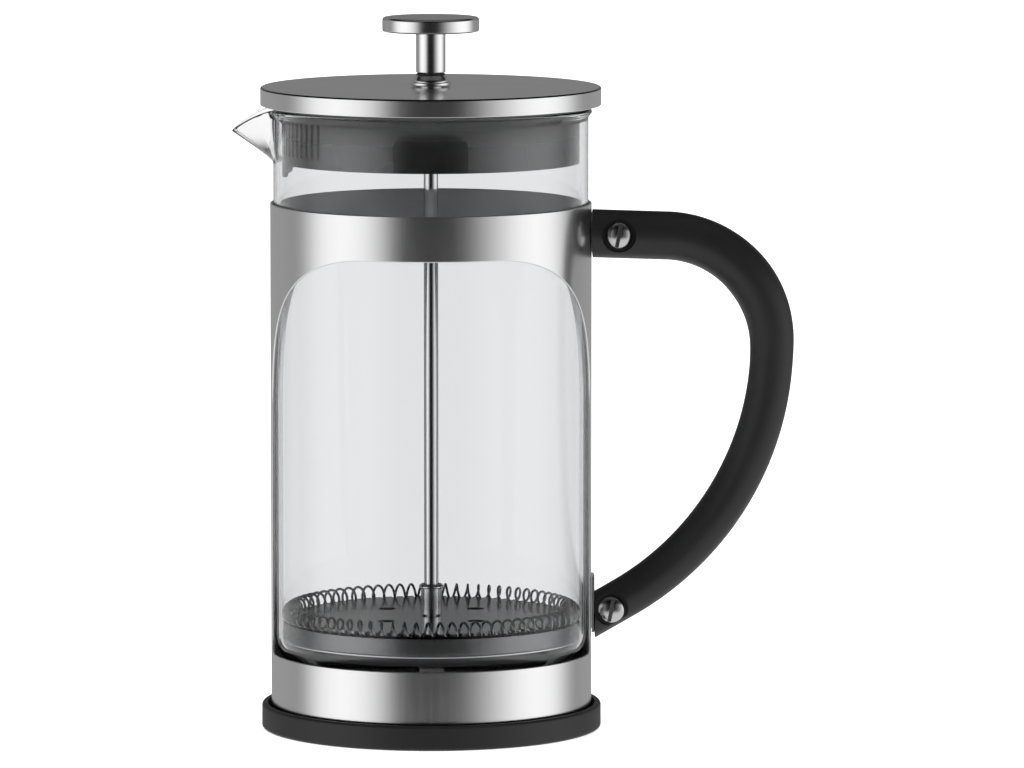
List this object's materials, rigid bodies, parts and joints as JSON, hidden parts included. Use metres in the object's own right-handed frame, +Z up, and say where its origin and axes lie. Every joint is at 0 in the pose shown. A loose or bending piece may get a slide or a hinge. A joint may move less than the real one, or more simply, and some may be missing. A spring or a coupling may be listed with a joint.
{
  "type": "french press",
  "caption": "Tall glass beaker with a pour spout in a windowed steel sleeve on a round base, with a bowed side handle, a strainer lid and a knobbed plunger carrying a sprung mesh filter.",
  "frame": {"origin": "centre of the base's underside, on the table and on the axis of the beaker", "axes": "+Z up along the plunger rod, +X towards the handle, -X towards the spout"},
  "size_m": [0.1739, 0.1054, 0.2211],
  "materials": {
    "black_plastic": "satin black moulding",
    "liner_plastic": "smooth black moulding",
    "brushed_steel": "satin stainless steel",
    "polished_steel": "polished stainless steel",
    "fastener_steel": "bright stainless steel",
    "spring_steel": "bright spring wire",
    "steel_mesh": "fine woven stainless mesh",
    "clear_glass": "clear borosilicate glass"
  },
  "bodies": {
    "carrier": {"base": "black_plastic", "steel_frame": "brushed_steel", "upper_bracket": "brushed_steel", "lower_bracket": "brushed_steel", "handle": "black_plastic", "upper_screw": "fastener_steel", "upper_barrel_nut": "fastener_steel", "lower_screw": "fastener_steel", "lower_barrel_nut": "fastener_steel"},
    "beaker": {"glass_beaker": "clear_glass"},
    "lid_ferrule": {"lid_bush": "polished_steel", "bush_nut": "fastener_steel"},
    "lid": {"lid_cover": "brushed_steel", "lid_liner": "liner_plastic"},
    "plunger": {"knob": "polished_steel", "plunger_rod": "polished_steel", "plunger_hub": "polished_steel", "spiral_plate": "polished_steel", "coil_spring": "spring_steel", "mesh_filter": "steel_mesh", "cross_plate": "polished_steel"}
  },
  "joints": [
    {"name": "beaker_lift", "type": "slide", "parent": "carrier", "child": "beaker", "axis": [0, 0, 1], "range_m": [0, 0.16]},
    {"name": "lid_lift", "type": "slide", "parent": "beaker", "child": "lid_ferrule", "axis": [0, 0, 1], "range_m": [0, 0.175]},
    {"name": "lid_turn", "type": "hinge", "parent": "lid_ferrule", "child": "lid", "pos_m": [0, 0, 0.194], "axis": [0, 0, 1], "continuous": true},
    {"name": "plunger_slide", "type": "slide", "parent": "lid_ferrule", "child": "plunger", "axis": [0, 0, 1], "range_m": [0, 0.131]}
  ]
}
